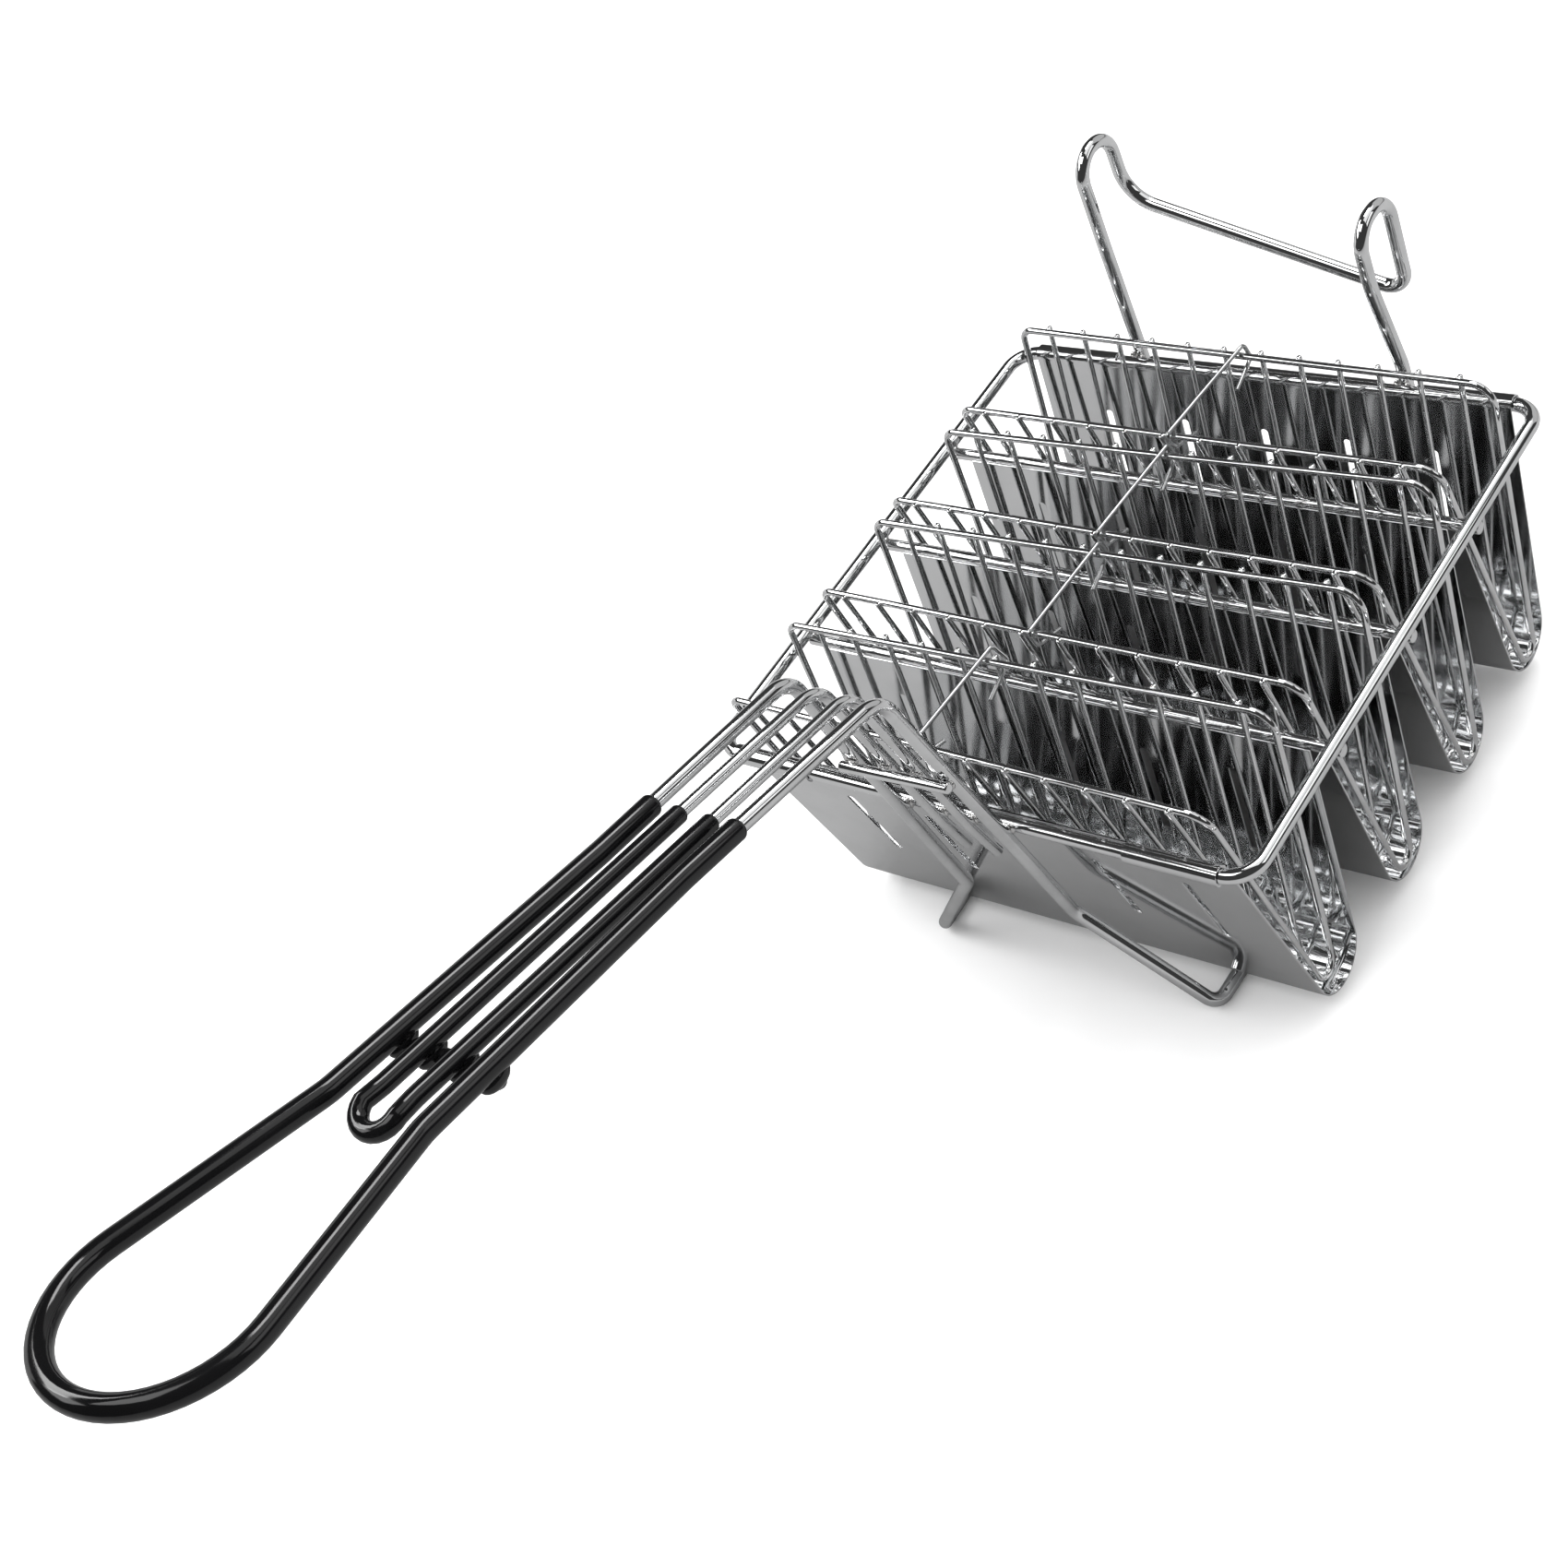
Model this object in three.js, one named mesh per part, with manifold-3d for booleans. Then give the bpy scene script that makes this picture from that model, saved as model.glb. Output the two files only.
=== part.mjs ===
// Taco-shell fry basket: four V-shaped troughs in a wire frame, four drop-in wire
// press inserts that hold the shells open, a long coated wire handle and a rear hook.
// Millimetres, +Z up. The working frame below has x across the troughs, y from the
// front rail (handle side, y = 0) to the rear rail, and z = 0 at the rail centreline.
import * as THREE from 'three';
import { mergeVertices } from 'three/addons/utils/BufferGeometryUtils.js';
import Module from 'manifold-3d';

const wasm = await Module();
wasm.setup();

// ---- driving dimensions -------------------------------------------------------
const GAP = 0.3;                    // clearance kept between separate pieces
const RAIL_W = 210;                 // frame rail, centreline to centreline, across
const RAIL_L = 211;                 // frame rail, centreline to centreline, front to rear
const RAIL_R = 2.5;                 // rail and outer handle wire radius
const RAIL_CORNER = 10;
const SHEET = 0.6;                  // trough sheet thickness
const TROUGH_HALF = 95.5;           // half the trough length
const TROUGH_DEPTH = 96.8;          // rail centreline down to the underside of a trough
const TROUGH_BEND = 12.7;           // bend radius at the bottom of a trough, mid sheet
const RIDGE_R = 2.2;
const RIDGE_Z = -(RAIL_R + RIDGE_R + GAP);
const RIDGE_Y = [58.8, 108.5, 158.2];
const BOTTOM_Y = [36, 86, 135.5, 185];         // trough bottoms, front to rear
const SLOT = { pitch: 33.3, width: 3, top: -20, bottom: -58 };
const HEM_FROM = 62.5;              // the front hem covers the rail outside this x
const SLOT_SHIFT = { front: 6, rear: -2, drain: 10 };
// The inserts are bent by hand: y of each front rail at its left and right end, then of
// each rear rail; the height of the rails; and how far the insert sits off centre.
const INSERT_RAILS = [[11.5, 9.2, 48.1, 52], [64.9, 63.8, 100.5, 104.9],
  [111.3, 111, 147.8, 153.4], [160.6, 160.6, 205.4, 201.4]];
const INSERT_Z = [14.2, 15.4, 16.4, 16.1];
const INSERT_X = [-5.6, -1.4, 0, -0.5];
const INSERT_HALF_L = 95;
const INSERT_CORNER = { left: 4.5, right: 8 };
const INSERT_RAIL_R = 1.25;
const INSERT_RIB_R = 1.0;
const INSERT_RIBS = 12;
const INSERT_PITCH = 15.1;
const INSERT_BEND = 5;
const TIE_R = 0.8;
const TIE_X = [[-16.2, -19], [-3.2, -5], [-2.5, -5], [-1, -5]];   // rear end, front end
const TIE_REACH = [2.2, 0.6, 0.6, 0.6];        // slack of the loop behind the rear rail
const LEG_TILT = 0.225;             // legs lean forward this much per mm of height
const HANDLE_RISE = 0.22;           // handle rises this much per mm of reach
const ARCH_Z = 81.4;
const INNER_R = 2.0;
const GRIP_R = 3.6;                 // coated radius of the outer handle wire
const INNER_GRIP_R = 2.9;
const GRIP_START = -86;
const NECK_Y = -110;                // narrowest place of the outer handle
const LOOP_Y = -280;                // centre of the round handle end
const LOOP_R = 31;
const CROSS_Y = -186;
const CROSS_R = 3.3;
const FOOT_Z = -(TROUGH_DEPTH + RAIL_R + 0.4);
const HOOK_X = 53.5;

// ---- paths ----------------------------------------------------------------------
const V = (x, y, z) => new THREE.Vector3(x, y, z);

// A polyline whose points with a radius are replaced by arcs: [x, y, z, radius].
function rounded(points, closed = false, step = 24) {
  const out = [];
  const n = points.length;
  for (let i = 0; i < n; i++) {
    const [x, y, z, r = 0] = points[i];
    const p = V(x, y, z);
    if (!r || (!closed && (i === 0 || i === n - 1))) { out.push(p); continue; }
    const a = V(...points[(i + n - 1) % n]).sub(p).normalize();
    const b = V(...points[(i + 1) % n]).sub(p).normalize();
    const turn = Math.PI - a.angleTo(b);
    const cut = r * Math.tan(turn / 2);
    const centre = a.clone().add(b).normalize().multiplyScalar(r / Math.cos(turn / 2)).add(p);
    const from = p.clone().addScaledVector(a, cut).sub(centre);
    const axis = V(0, 0, 0).crossVectors(from, p.clone().addScaledVector(b, cut).sub(centre)).normalize();
    const steps = Math.max(1, Math.round(THREE.MathUtils.radToDeg(turn) / step));
    for (let k = 0; k <= steps; k++) {
      out.push(from.clone().applyAxisAngle(axis, turn * k / steps).add(centre));
    }
  }
  return out;
}

// A curve that runs exactly through its points, sampled point by point.
class WirePath extends THREE.Curve {
  constructor(points, closed = false) { super(); this.points = points; this.closed = closed; }
  get spans() { return this.closed ? this.points.length : this.points.length - 1; }
  getPoint(t, target = new THREE.Vector3()) {
    const n = this.points.length;
    const s = Math.min(Math.max(t, 0), 1) * this.spans;
    const i = Math.min(Math.floor(s + 1e-9), this.spans - (this.closed ? 0 : 1));
    return target.lerpVectors(this.points[i % n], this.points[(i + 1) % n], s - i);
  }
  getPointAt(u, target) { return this.getPoint(u, target); }
  getSpacedPoints() { return this.points.slice(); }
  getTangentAt(u, target = new THREE.Vector3()) {
    const n = this.points.length;
    const i = Math.round(u * this.spans);
    const at = (k) => this.points[this.closed ? (k + n) % n : Math.min(Math.max(k, 0), n - 1)];
    const before = at(i).clone().sub(at(i - 1)).normalize();
    const after = at(i + 1).clone().sub(at(i)).normalize();
    return target.copy(before.add(after)).normalize();
  }
}

// ---- solids ---------------------------------------------------------------------
function solid(geometry) {
  const g = geometry.clone();
  g.deleteAttribute('normal');
  g.deleteAttribute('uv');
  const m = mergeVertices(g, 1e-5);
  const body = (flip) => {
    const tri = Uint32Array.from(m.index.array);
    if (flip) for (let i = 0; i < tri.length; i += 3) [tri[i], tri[i + 1]] = [tri[i + 1], tri[i]];
    return new wasm.Manifold(new wasm.Mesh({
      numProp: 3, vertProperties: Float32Array.from(m.attributes.position.array), triVerts: tri,
    }));
  };
  const s = body(false);
  return s.volume() < 0 ? body(true) : s;
}

function geometryOf(manifold) {
  const mesh = manifold.getMesh();
  const g = new THREE.BufferGeometry();
  const xyz = new Float32Array(mesh.numVert * 3);
  for (let i = 0; i < mesh.numVert; i++) {
    for (let k = 0; k < 3; k++) xyz[3 * i + k] = mesh.vertProperties[i * mesh.numProp + k];
  }
  g.setAttribute('position', new THREE.BufferAttribute(xyz, 3));
  g.setIndex(new THREE.BufferAttribute(Uint32Array.from(mesh.triVerts), 1));
  g.computeVertexNormals();
  return g;
}

function disc(r, sides) {
  const pts = [];
  for (let i = 0; i < sides; i++) {
    const a = (2 * Math.PI * (i + 0.5)) / sides;
    pts.push(new THREE.Vector2(r * Math.cos(a), r * Math.sin(a)));
  }
  return new THREE.Shape(pts);
}

function wire(points, r, sides = 8) {
  const path = new WirePath(points);
  return solid(new THREE.ExtrudeGeometry(disc(r, sides), { extrudePath: path, steps: path.spans }));
}

function ring(points, r, sides = 8) {
  const path = new WirePath(points, true);
  return solid(new THREE.TubeGeometry(path, path.spans, r, sides, true));
}

// An outline in (y, z) pushed along x from x0 to x1.
const ALONG_X = new THREE.Matrix4().makeBasis(V(0, 1, 0), V(0, 0, 1), V(1, 0, 0));
function slab(points, x0, x1) {
  const g = new THREE.ExtrudeGeometry(new THREE.Shape(points), { depth: x1 - x0, bevelEnabled: false });
  g.translate(0, 0, x0);
  return solid(g.applyMatrix4(ALONG_X));
}

function box(x0, x1, y0, y1, z0, z1) {
  const g = new THREE.BoxGeometry(x1 - x0, y1 - y0, z1 - z0);
  g.translate((x0 + x1) / 2, (y0 + y1) / 2, (z0 + z1) / 2);
  return solid(g);
}

// ---- the V profile shared by troughs and inserts ----------------------------------
// From the rear top point round the bottom bend to the front top point, in (y, z).
function vee(front, rear, bottomY, bottomZ, r, segments) {
  const c = new THREE.Vector2(bottomY, bottomZ + r);
  const touch = (p, side) => {
    const d = c.clone().sub(p);
    const reach = Math.sqrt(d.lengthSq() - r * r);
    const swing = Math.asin(r / d.length()) * side;
    return p.clone().add(d.normalize().rotateAround(new THREE.Vector2(), swing).multiplyScalar(reach));
  };
  const a = touch(front, -1).sub(c);
  const b = touch(rear, 1).sub(c);
  const a0 = Math.atan2(a.y, a.x) - (a.y > 0 ? 2 * Math.PI : 0);
  const b0 = Math.atan2(b.y, b.x);
  const pts = [front];
  for (let k = 0; k <= segments; k++) {
    const t = a0 + ((b0 - a0) * k) / segments;
    pts.push(new THREE.Vector2(c.x + r * Math.cos(t), c.y + r * Math.sin(t)));
  }
  pts.push(rear);
  return pts;
}

// A strip of even thickness along a (y, z) path.
function strip(path, t) {
  const left = [];
  const right = [];
  path.forEach((p, i) => {
    const before = path[Math.max(i - 1, 0)];
    const after = path[Math.min(i + 1, path.length - 1)];
    const d1 = i > 0 ? p.clone().sub(before).normalize() : after.clone().sub(p).normalize();
    const d2 = i < path.length - 1 ? after.clone().sub(p).normalize() : d1.clone();
    const d = d1.add(d2).normalize();
    const across = (t / 2) / Math.max(d.dot(d2), 0.5);
    left.push(new THREE.Vector2(p.x - d.y * across, p.y + d.x * across));
    right.push(new THREE.Vector2(p.x + d.y * across, p.y - d.x * across));
  });
  return left.concat(right.reverse());
}

// ---- troughs --------------------------------------------------------------------
function hem(centreY, fromDeg, toDeg) {
  const pts = [];
  const steps = 9;
  const r = RAIL_R + GAP + SHEET / 2;
  for (let k = 0; k < steps; k++) {
    const a = THREE.MathUtils.degToRad(fromDeg + ((toDeg - fromDeg) * k) / (steps - 1));
    pts.push(new THREE.Vector2(centreY + r * Math.cos(a), r * Math.sin(a)));
  }
  return pts;
}

function slotCutter(foot, up, x, z0, z1, width) {
  const u = up.clone().normalize();
  const half = (z1 - z0) / u.y / 2;
  const mid = foot.clone().addScaledVector(up, ((z0 + z1) / 2 - foot.y) / up.y);
  const r = width / 2;
  const s = new THREE.Shape();
  s.absarc(0, half - r, r, 0, Math.PI);
  s.absarc(0, -half + r, r, Math.PI, 2 * Math.PI);
  const g = new THREE.ExtrudeGeometry(s, { depth: 6, bevelEnabled: false, curveSegments: 3 });
  g.translate(0, 0, -3);
  const along = V(0, u.x, u.y);
  g.applyMatrix4(new THREE.Matrix4().makeBasis(V(1, 0, 0), along, V(0, -u.y, u.x)));
  return solid(g.translate(x, mid.x, mid.y));
}

function trough(i) {
  const wallReach = RIDGE_R + GAP + SHEET / 2;
  const hemReach = RAIL_R + GAP + SHEET / 2;
  const first = i === 0;
  const last = i === BOTTOM_Y.length - 1;
  const front = first ? new THREE.Vector2(hemReach, -0.4)
    : new THREE.Vector2(RIDGE_Y[i - 1] + wallReach, RIDGE_Z);
  const rear = last ? new THREE.Vector2(RAIL_L - hemReach, -0.4)
    : new THREE.Vector2(RIDGE_Y[i] - wallReach, RIDGE_Z);
  let path = vee(front, rear, BOTTOM_Y[i], -TROUGH_DEPTH + SHEET / 2, TROUGH_BEND, 8);
  const frontWall = [path[1].clone(), front.clone().sub(path[1])];
  const rearWall = [path[path.length - 2].clone(), rear.clone().sub(path[path.length - 2])];
  if (first) path = hem(0, 240, 0).concat(path);
  if (last) path = path.concat(hem(RAIL_L, 180, -60));
  let body = slab(strip(path, SHEET), -TROUGH_HALF, TROUGH_HALF);
  for (let k = -2; k <= 2; k++) {
    const at = k * SLOT.pitch;
    body = body.subtract(slotCutter(...frontWall, at + SLOT_SHIFT.front, SLOT.bottom, SLOT.top, SLOT.width));
    body = body.subtract(slotCutter(...rearWall, at + SLOT_SHIFT.rear, SLOT.bottom, SLOT.top, SLOT.width));
    const x = at + SLOT_SHIFT.drain;
    body = body.subtract(box(x - 2.8, x + 2.8, BOTTOM_Y[i] - 1.1, BOTTOM_Y[i] + 1.1,
      -TROUGH_DEPTH - 1, -TROUGH_DEPTH + 2));
  }
  if (first) {
    // only the two ends are hemmed: between them the sheet stops just behind the bare rail
    body = body.subtract(box(-HEM_FROM, HEM_FROM, -6, 2.4, -6, 6));
  }
  if (last) {
    for (const s of [-1, 1]) {
      const x = s * HOOK_X;
      body = body.subtract(box(x - 7, x + 7, RAIL_L - 6, RAIL_L + 6, -0.4, 6));
      body = body.subtract(box(x - 7, x + 7, RAIL_L - 2.4, RAIL_L + 6, -6, 0));
    }
  }
  return body;
}

// ---- press inserts --------------------------------------------------------------
const onX = (x, pts) => pts.map((p) => [x, p.x, p.y]);

function railsAt(i, x) {
  const t = (x - INSERT_X[i] + INSERT_HALF_L) / (2 * INSERT_HALF_L);
  const [fl, fr, rl, rr] = INSERT_RAILS[i];
  return [THREE.MathUtils.lerp(fl, fr, t), THREE.MathUtils.lerp(rl, rr, t)];
}

function insertProfile(i, x, outset, top, clear) {
  const z = INSERT_Z[i] + top;
  const [front, rear] = railsAt(i, x);
  const profile = vee(new THREE.Vector2(front - outset, z), new THREE.Vector2(rear + outset, z),
    BOTTOM_Y[i], -TROUGH_DEPTH + SHEET + GAP + clear, INSERT_BEND, 3);
  return onX(x, profile);
}

function pressInsert(i) {
  const right = insertProfile(i, INSERT_X[i] + INSERT_HALF_L, 0, 0, INSERT_RAIL_R);
  const left = insertProfile(i, INSERT_X[i] - INSERT_HALF_L, 0, 0, INSERT_RAIL_R).reverse();
  for (const [side, r] of [[right, INSERT_CORNER.right], [left, INSERT_CORNER.left]]) {
    side[0].push(r);
    side[side.length - 1].push(r);
  }
  let body = ring(rounded(right.concat(left), true, 30), INSERT_RAIL_R, 6);
  for (let k = 0; k < INSERT_RIBS; k++) {
    const x = INSERT_X[i] + (k - (INSERT_RIBS - 1) / 2) * INSERT_PITCH;
    const rib = insertProfile(i, x, INSERT_RAIL_R + INSERT_RIB_R - 0.3, 1.4, INSERT_RIB_R);
    body = body.add(wire(rib.map((p) => V(...p)), INSERT_RIB_R, 5));
  }
  return body;
}

function tieWire(i) {
  const [x0, x1] = TIE_X[i];
  const z = INSERT_Z[i];
  const yr = railsAt(i, x0)[1];
  const yf = railsAt(i, x1)[0];
  const w = INSERT_RAIL_R + TIE_R + GAP + 0.2;
  const back = yr + w + TIE_REACH[i];
  const shift = 2 * TIE_REACH[i];
  return wire(rounded([
    [x0 + 2 + shift, yr - 11, z - 6], [x0 + 1 + shift, back, z - w - 0.4, 1.6], [x0 + 0.6, back, z + w, 1.6],
    [x1, yf - w, z + w, 1.6], [x1 + 2, yf - w - 0.2, z - w - 0.2, 1.6], [x1 + 4, yf + 8, z - 5],
  ], false, 40), TIE_R, 6);
}

// ---- handle, legs, hook -----------------------------------------------------------
const legY = (z) => -(RAIL_R * 2 + GAP) - LEG_TILT * z;
const ARCH_Y = legY(ARCH_Z);
const handleZ = (y) => ARCH_Z + HANDLE_RISE * (ARCH_Y - y);
const onHandle = (x, y, r = 0, drop = 0) => [x, y, handleZ(y) - drop, r];

// The outer wire from one foot up its leg, round the handle loop and down to the other.
function outerWire(reach = Infinity) {
  const side = (s) => {
    const pts = [];
    if (reach === Infinity) {
      pts.push([s * 58, 38, FOOT_Z], [s * 57.5, 15.5, FOOT_Z, 6], [s * 21.9, legY(-51), -51, 10],
        [s * 20.1, legY(0), 0], [s * 17.3, ARCH_Y, ARCH_Z, 12]);
    } else {
      pts.push(onHandle(s * THREE.MathUtils.mapLinear(reach, ARCH_Y, NECK_Y, 17.3, 15.8), reach));
    }
    pts.push(onHandle(s * 15.8, NECK_Y, 60), onHandle(s * 18, -212, 25));
    return pts;
  };
  const loop = [];
  for (let k = 0; k <= 8; k++) {
    const a = THREE.MathUtils.degToRad(11.3 - (202.6 * k) / 8);
    loop.push(onHandle(LOOP_R * Math.cos(a), LOOP_Y + LOOP_R * Math.sin(a)));
  }
  return rounded([...side(1), ...loop, ...side(-1).reverse()], false, 28);
}

function innerWire(reach = Infinity) {
  const x = 6;
  const drop = GRIP_R - INNER_GRIP_R;
  const side = (s) => {
    const pts = [];
    if (reach === Infinity) {
      const y0 = legY(0) + RAIL_R - INNER_R;
      pts.push([s * x, y0 + 6, -20], [s * x, y0, 0, 20], [s * x, ARCH_Y, ARCH_Z - drop, 12]);
    } else {
      pts.push(onHandle(s * x, reach, 0, drop));
    }
    pts.push(onHandle(s * x, -204, 20, drop));
    return pts;
  };
  const end = [[6.6, -210, 0], [5.6, -214.4, 1.2], [0, -217.2, 2.8], [-5.6, -214.4, 1.2], [-6.6, -210, 0]]
    .map(([px, py, low]) => onHandle(px, py, 0, drop + low));
  return rounded([...side(1), ...end, ...side(-1).reverse()], false, 26);
}

function sleeve(outline, bore, path, sides) {
  const stretch = path.map((p) => p.clone());
  const push = (a, b) => a.clone().add(a.clone().sub(b).setLength(1));
  stretch[0] = push(path[0], path[1]);
  stretch[stretch.length - 1] = push(path[path.length - 1], path[path.length - 2]);
  return wire(path, outline, sides).subtract(wire(stretch, bore, sides));
}

// ---- assemble ---------------------------------------------------------------------
const steel = (roughness) => new THREE.MeshStandardMaterial({ color: 0xc9cccf, metalness: 1, roughness });
const vinyl = () => new THREE.MeshStandardMaterial({ color: 0x0b0b0c, metalness: 0, roughness: 0.25 });

const basket = new THREE.Group();
function place(name, manifold, material) {
  const mesh = new THREE.Mesh(geometryOf(manifold), material);
  mesh.name = name;
  basket.add(mesh);
}

const halfW = RAIL_W / 2;
place('frame_rail', ring(rounded([[-halfW, 0, 0, RAIL_CORNER], [halfW, 0, 0, RAIL_CORNER],
  [halfW, RAIL_L, 0, RAIL_CORNER], [-halfW, RAIL_L, 0, RAIL_CORNER]], true, 22), RAIL_R), steel(0.12));

RIDGE_Y.forEach((y, i) => {
  place(`ridge_rod_${i + 1}`, wire([V(-halfW - 1, y, RIDGE_Z), V(halfW + 1, y, RIDGE_Z)], RIDGE_R), steel(0.12));
});
BOTTOM_Y.forEach((y, i) => place(`trough_${i + 1}`, trough(i), steel(0.08)));

place('outer_handle_wire', wire(outerWire(), RAIL_R), steel(0.12));
place('inner_handle_wire', wire(innerWire(), INNER_R), steel(0.12));
place('outer_handle_grip', sleeve(GRIP_R, RAIL_R + GAP, outerWire(GRIP_START), 8), vinyl());
place('inner_handle_grip', sleeve(INNER_GRIP_R, INNER_R + GAP, innerWire(GRIP_START), 8), vinyl());

const under = (GRIP_R + CROSS_R + GAP) / Math.hypot(1, HANDLE_RISE);
const crossY = CROSS_Y - under * HANDLE_RISE;
const crossZ = handleZ(CROSS_Y) - under;
place('handle_cross_rod', wire([V(-18.3, crossY, crossZ), V(18.3, crossY, crossZ)], CROSS_R), vinyl());

const barY = (z) => legY(z) - RAIL_R - 1.9 - GAP;
place('leg_crossbar', wire([V(-22.5, barY(34), 34), V(22, barY(37.5), 37.5)], 1.9), steel(0.12));

const hookY = RAIL_L + 2 * RAIL_R + GAP;
place('rear_hook', wire(rounded([
  [-HOOK_X, hookY, -7], [-HOOK_X, hookY, 50, 200], [-HOOK_X, hookY + 0.6, 86, 9.8], [-HOOK_X, hookY + 21, 84, 9.8],
  [-HOOK_X, hookY + 21, 56, 15], [HOOK_X, hookY + 14.5, 27, 7], [HOOK_X, hookY + 15.5, 68, 9.8],
  [HOOK_X, hookY - 6, 68.5, 9.8], [HOOK_X, hookY - 6, 45, 30], [HOOK_X, hookY, 8, 20], [HOOK_X, hookY, -7],
], false, 26), RAIL_R), steel(0.12));

BOTTOM_Y.forEach((y, i) => {
  place(`press_insert_${i + 1}`, pressInsert(i), steel(0.14));
  place(`tie_wire_${i + 1}`, tieWire(i), steel(0.2));
});

// The origin goes to the centre of the footprint, on the surface the basket stands on.
const bounds = new THREE.Box3().setFromObject(basket);
const centre = bounds.getCenter(new THREE.Vector3());
basket.position.set(-centre.x, -centre.y, -bounds.min.z);

export default basket;
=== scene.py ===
from math import asin, atan2, cos, degrees, pi, radians, sin, tan

import bmesh
import bpy
from mathutils import Matrix, Vector


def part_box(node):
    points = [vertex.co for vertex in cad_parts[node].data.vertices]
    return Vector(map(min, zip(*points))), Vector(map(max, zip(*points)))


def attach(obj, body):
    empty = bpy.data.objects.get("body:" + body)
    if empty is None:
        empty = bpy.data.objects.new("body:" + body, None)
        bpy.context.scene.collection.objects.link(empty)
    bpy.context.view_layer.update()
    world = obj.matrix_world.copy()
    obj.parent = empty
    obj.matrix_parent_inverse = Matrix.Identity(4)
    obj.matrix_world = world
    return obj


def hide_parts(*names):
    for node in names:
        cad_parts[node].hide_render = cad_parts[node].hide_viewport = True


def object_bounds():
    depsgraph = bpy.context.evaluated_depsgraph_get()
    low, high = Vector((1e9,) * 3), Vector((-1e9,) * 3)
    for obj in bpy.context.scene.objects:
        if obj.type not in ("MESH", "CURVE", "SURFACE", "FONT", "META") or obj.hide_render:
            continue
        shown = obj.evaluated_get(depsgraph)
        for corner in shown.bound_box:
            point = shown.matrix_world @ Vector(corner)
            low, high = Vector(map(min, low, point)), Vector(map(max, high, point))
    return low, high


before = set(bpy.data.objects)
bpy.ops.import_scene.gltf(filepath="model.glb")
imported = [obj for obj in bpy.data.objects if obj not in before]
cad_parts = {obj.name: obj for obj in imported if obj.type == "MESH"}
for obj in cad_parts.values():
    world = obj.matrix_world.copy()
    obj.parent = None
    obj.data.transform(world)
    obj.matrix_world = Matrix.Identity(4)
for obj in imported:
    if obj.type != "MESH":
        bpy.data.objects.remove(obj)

cad_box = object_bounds()

# The camera looks down on the basket from the right of its handle, from
# about 0.7 m, with a short telephoto lens and no shift or depth of field.
lens = bpy.data.cameras.new("camera")
lens.lens = 56.52
lens.sensor_width = 36.0
lens.clip_start, lens.clip_end = 0.02, 50.0
camera = bpy.data.objects.new("camera", lens)
look = Vector((-0.62143, 0.42543, -0.65790)).normalized()
lift = Vector((-0.19811, 0.72710, 0.65732))
side = look.cross(lift).normalized()
lift = side.cross(look)
camera.matrix_world = Matrix.Translation((0.44465, -0.32218, 0.64657)) @ Matrix(
    (side, lift, -look)).transposed().to_4x4()
bpy.context.scene.collection.objects.link(camera)
bpy.context.scene.camera = camera


# Frame rail: one length of 5 mm bright stainless wire bent into a rectangle
# and butt-welded shut. Everything else in the basket is welded to it.
# Sizes are in millimetres, counted from the middle of the front rail.
rail_lo, rail_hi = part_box("frame_rail")
rail_radius = 2.5
rail_base = Vector(((rail_lo.x + rail_hi.x) / 2, rail_lo.y + rail_radius / 1000,
                    (rail_lo.z + rail_hi.z) / 2))
rail_half = (rail_hi.x - rail_lo.x) * 500 - rail_radius
rail_length = (rail_hi.y - rail_lo.y) * 1000 - 2 * rail_radius


def bend(points, closed=False, step=6):
    """Replaces each corner (x, y, z, radius) of a bent wire with its arc."""
    out = []
    count = len(points)
    for i, corner in enumerate(points):
        here = Vector(corner[:3])
        radius = corner[3] if len(corner) > 3 else 0
        if not radius or (not closed and i in (0, count - 1)):
            out.append(here)
            continue
        a = (Vector(points[i - 1][:3]) - here).normalized()
        b = (Vector(points[(i + 1) % count][:3]) - here).normalized()
        turn = pi - a.angle(b)
        middle = here + (a + b).normalized() * radius / cos(turn / 2)
        start = here + a * radius * tan(turn / 2) - middle
        stop = here + b * radius * tan(turn / 2) - middle
        axis = start.cross(stop).normalized()
        steps = max(2, round(degrees(turn) / step))
        out += [Matrix.Rotation(turn * k / steps, 3, axis) @ start + middle
                for k in range(steps + 1)]
    return out


def end_shape(points, radius, softness):
    """Adds points near both ends of a wire, and the girth there: softness 1 is a round end."""
    steps, least = 6, 0.02
    pts = [p.copy() for p in points]
    girths = [1.0] * len(pts)
    reach = radius * softness
    for _ in range(2):
        pts.reverse()
        girths.reverse()
        run = pts[1] - pts[0]
        size = min(reach, run.length * 0.9)
        run.normalize()
        tip = pts[0]
        extra, slim = [], []
        for k in range(steps):
            a = radians(90 * k / steps)
            extra.append(tip + run * size * (1 - cos(a)))
            slim.append(max(least, 1 - softness + softness * sin(a)))
        extra.append(tip + run * size)
        slim.append(1.0)
        pts[0:1] = extra
        girths[0:1] = slim
    return pts, girths


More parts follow.
